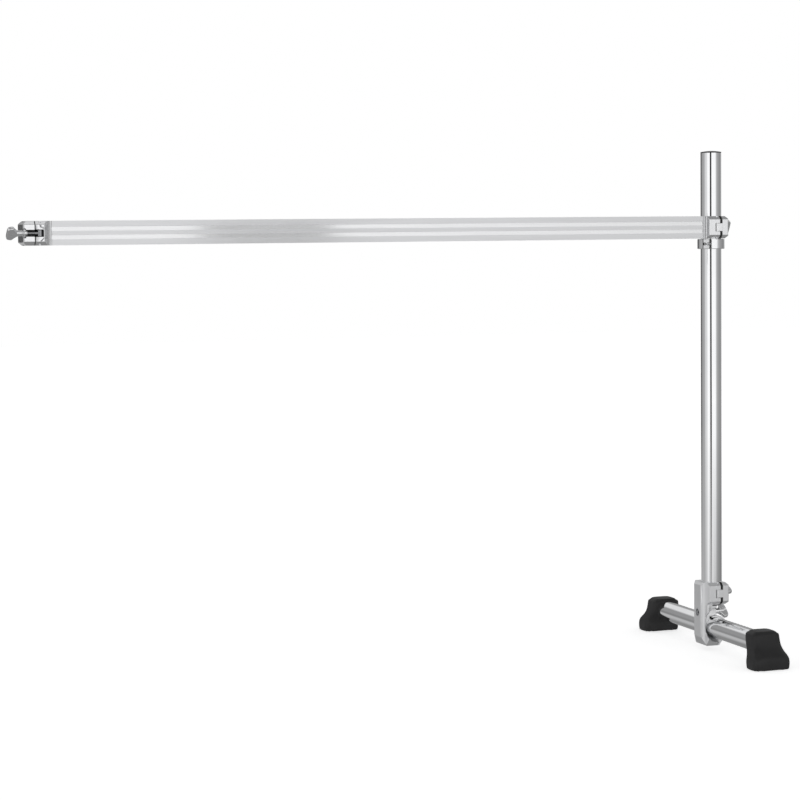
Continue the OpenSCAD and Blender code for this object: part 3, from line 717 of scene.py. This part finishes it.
def ramp(nt, value, stops, low, high):
    """A grey for each value, from a table; low and high are the ends of the value's range."""
    node = nt.nodes.new("ShaderNodeValToRGB")
    elements = node.color_ramp.elements
    while len(elements) < len(stops):
        elements.new(0.5)
    for element, (at, tone) in zip(elements, stops):
        element.position = (at - low) / (high - low)
        element.color = (tone, tone, tone * 1.005, 1)
    nt.links.new(spread(nt, value, 0, 1, low, high), node.inputs["Fac"])
    return node.outputs["Color"]


def studio():
    """The light: soft walls, ceiling and grey ground for reflections. The camera sees plain white instead."""
    world = bpy.data.worlds.new("studio")
    world.use_nodes = True
    nt = world.node_tree
    split = nt.nodes.new("ShaderNodeSeparateXYZ")
    nt.links.new(nt.nodes.new("ShaderNodeTexCoord").outputs["Generated"], split.inputs["Vector"])
    towards_front = calculate(nt, "MULTIPLY", split.outputs["Y"], -1)
    degrees = calculate(nt, "DEGREES", calculate(nt, "ARCTAN2", split.outputs["X"], towards_front))
    height = split.outputs["Z"]
    walls, low, high = (ramp(nt, degrees, table, -180, 180) for table in (WALLS, LOW_WALLS, HIGH_WALLS))
    tone = mix(nt, spread(nt, height, 0, 1, -0.17, -0.08), low, walls)
    tone = mix(nt, spread(nt, height, 0, 1, 0.04, 0.09), tone, high)
    tone = mix(nt, spread(nt, height, 0, 1, 0.34, 0.42), tone, ramp(nt, height, CEILING, -1, 1))
    tone = mix(nt, spread(nt, height, 1, 0, -0.45, -0.30), tone, GROUND)
    lights = nt.nodes["Background"]
    nt.links.new(tone, lights.inputs["Color"])
    white = nt.nodes.new("ShaderNodeBackground")
    white.inputs["Color"].default_value = (1, 1, 1, 1)
    seen = nt.nodes.new("ShaderNodeMixShader")
    nt.links.new(nt.nodes.new("ShaderNodeLightPath").outputs["Is Camera Ray"], seen.inputs["Fac"])
    nt.links.new(lights.outputs[0], seen.inputs[1])
    nt.links.new(white.outputs[0], seen.inputs[2])
    nt.links.new(seen.outputs[0], nt.nodes["World Output"].inputs["Surface"])
    scene.world = world


# ---------------------------------------------------------------- the object
# CAD nodes that stay in view; the pins, screws and leg bolt are steel
CAD_LOOKS = {"bar_extrusion": satin_bar, "post_tube": chrome_post, "leg_tube": chrome_leg,
             "post_top_cap": plastic, "post_bottom_plug": plastic}
for name, obj in nodes.items():
    obj.data.materials.clear()
    obj.data.materials.append(CAD_LOOKS.get(name, steel))

# Each clamp's metal; None is polished metal whose shoulders have a darker, rougher copy of it, the darker colour
# being painted shade
CLAMP_METAL = {"rack_end": cast_metal, "post_end": None, "foot_post": foot_metal}
# Shoulders of the castings to hollow: two plan points of each in the clamp's frame, and the curve's power
BAR_HOLLOWS = [(((-0.0265, -0.0205), (-0.0175, -0.028)), 3.2), (((-0.0265, 0.0205), (-0.013, 0.0295)), 2.0)]
FOOT_HOLLOWS = [(((-0.0295, -0.0135), (-0.0175, -0.028)), 2.0)]
for name in CLAMPS:
    clamp, metal = Clamp(name), CLAMP_METAL[name]
    in_body = inside_clamp(clamp, False)
    if name == "foot_post":
        # Faces of the foot casting that get near-black painted shade: the clamp's insides and the hook's bore
        # and split
        foot_painted_shade_faces = lambda c, n: in_body(c, n) or inside_hook(c, n)
        body = casting("foot_body", 0.0005, foot_painted_shade_faces, FOOT_HOLLOWS, clamp, True, metal)
        stand_in(body, "foot_body")
    else:
        body = casting(name + "_body", 0.0008, in_body, BAR_HOLLOWS, clamp, False, metal)
        stand_in(body, name + "_body")
    jaw = casting(name + "_jaw", 0.0008, inside_clamp(clamp, True), metal=metal)
    stand_in(jaw, name + "_jaw")
    stand_in(wing_nut(name + "_wing_nut"), name + "_wing_nut")
    stand_in(swing_bolt(name), name + "_swing_bolt")
    stand_in(washer(name + "_seat_washer"), name + "_seat_washer")
stand_in(collar_half("shell", 1), "collar_shell")
stand_in(collar_half("gate", -1), "collar_gate")
stand_in(key_bolt(), "collar_key_bolt")
stand_in(casting("foot_leg_jaw", 0.0005, inside_hook, metal=foot_metal), "foot_leg_jaw")
stand_in(wing_nut("foot_leg_wing_nut"), "foot_leg_wing_nut")
stand_in(washer("foot_leg_seat_washer"), "foot_leg_seat_washer")
for name in ("rubber_foot_front", "rubber_foot_rear"):
    stand_in(foot(name), name)

camera()
pale_floor()
studio()
card("grey_card", (0.475, -0.3, -0.075), 0.25, 0.11, 0.74)
